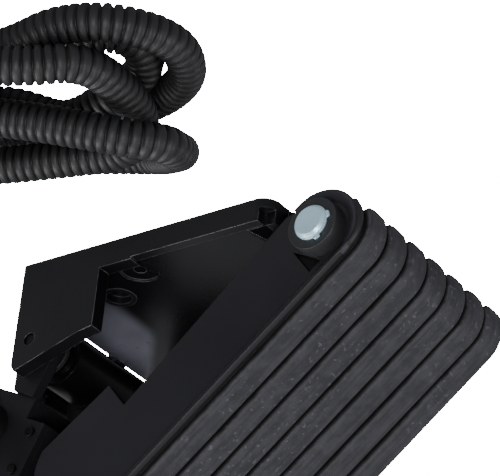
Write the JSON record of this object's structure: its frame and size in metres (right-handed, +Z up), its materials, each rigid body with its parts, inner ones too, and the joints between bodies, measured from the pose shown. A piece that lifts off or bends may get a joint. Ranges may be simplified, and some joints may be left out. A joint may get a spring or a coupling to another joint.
{
  "type": "foot pedal speed control",
  "caption": "Floor-standing foot pedal: a ribbed treadle on a low plate turns a sprung lever and sensor, with a corrugated cable conduit that ends in a plug.",
  "frame": {"origin": "on the underside of the base, midway between its two large mounting holes", "axes": "+X from the heel to the toe, +Y across the treadle to the far side, +Z up"},
  "size_m": [0.1482, 0.214, 0.1331],
  "materials": {
    "black_paint": "satin black paint",
    "black_moulding": "smooth moulded black",
    "tread_rubber": "matt charcoal rubber",
    "conduit_black": "semi-gloss corrugated black",
    "zinc": "bright zinc plate",
    "black_washer": "black",
    "bush_bronze": "sintered bronze",
    "dark_steel": "blackened steel",
    "white_acetal": "natural acetal",
    "board_green": "circuit board",
    "magnet": "ferrite",
    "contact": "tinned brass"
  },
  "bodies": {
    "base": {"base_frame": "black_paint", "hinge_bush_near": "bush_bronze", "hinge_bush_far": "bush_bronze", "rivet_nut": "zinc", "sensor_bracket": "black_moulding", "sensor_housing": "black_moulding", "sensor_cover": "black_moulding", "sensor_board": "board_green", "cover_screws": "zinc", "cable_gland": "black_moulding", "gland_nut": "black_moulding", "conduit_tail": "conduit_black", "conduit_coil": "conduit_black", "connector_boot": "conduit_black", "connector_body": "black_moulding", "connector_latch": "black_moulding", "connector_pins": "contact", "torsion_spring": "dark_steel"},
    "treadle": {"treadle_body": "black_moulding", "tread_pad": "tread_rubber", "pivot_shaft": "zinc", "hub_washer_near": "black_washer", "hub_washer_far": "black_washer", "shaft_clip_near": "zinc", "shaft_clip_far": "zinc"},
    "lever": {"lever_shaft": "dark_steel", "lever_arm": "dark_steel", "arm_set_screw": "zinc", "magnet_ring": "magnet", "roller_pin": "dark_steel"},
    "roller": {"roller": "white_acetal"}
  },
  "joints": [
    {"name": "treadle_press", "type": "hinge", "parent": "base", "child": "treadle", "pos_m": [-0.073, 0, 0.015], "axis": [0, 1, 0], "range_deg": [0, 15], "stiffness_Nm_per_rad": 3, "springref_deg": -20.05},
    {"name": "lever_swing", "type": "hinge", "parent": "base", "child": "lever", "pos_m": [0.0263, 0, 0.0258], "axis": [0, 1, 0], "range_deg": [0, 50.7]},
    {"name": "roller_spin", "type": "hinge", "parent": "lever", "child": "roller", "pos_m": [0.0263, 0, 0.0708], "axis": [0, 1, 0], "continuous": true}
  ],
  "couplings": [
    {"joint": "lever_swing", "follows": "treadle_press", "ratio": 3.38}
  ]
}
